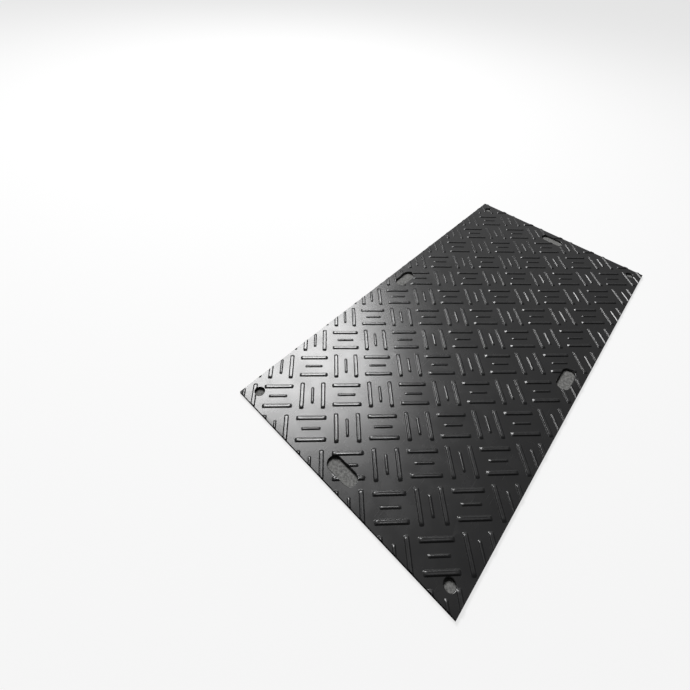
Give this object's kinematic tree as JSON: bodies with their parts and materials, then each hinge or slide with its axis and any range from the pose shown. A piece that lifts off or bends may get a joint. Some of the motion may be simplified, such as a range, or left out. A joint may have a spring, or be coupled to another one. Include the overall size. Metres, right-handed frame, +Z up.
{
  "type": "ground protection mat",
  "caption": "Flat moulded black plastic ground mat with a raised bar tread, a hand slot in the middle of each side and a round fastening hole near each corner.",
  "frame": {"origin": "centre of the smooth underside, on the ground", "axes": "+X along the length, +Y across the width, +Z up through the tread"},
  "size_m": [2.44, 1.22, 0.0177],
  "materials": {
    "ground_mat": "black polyethylene, moulded, half glossy with fine scuffs"
  },
  "bodies": {
    "root": {"ground_mat": "ground_mat"}
  },
  "joints": []
}
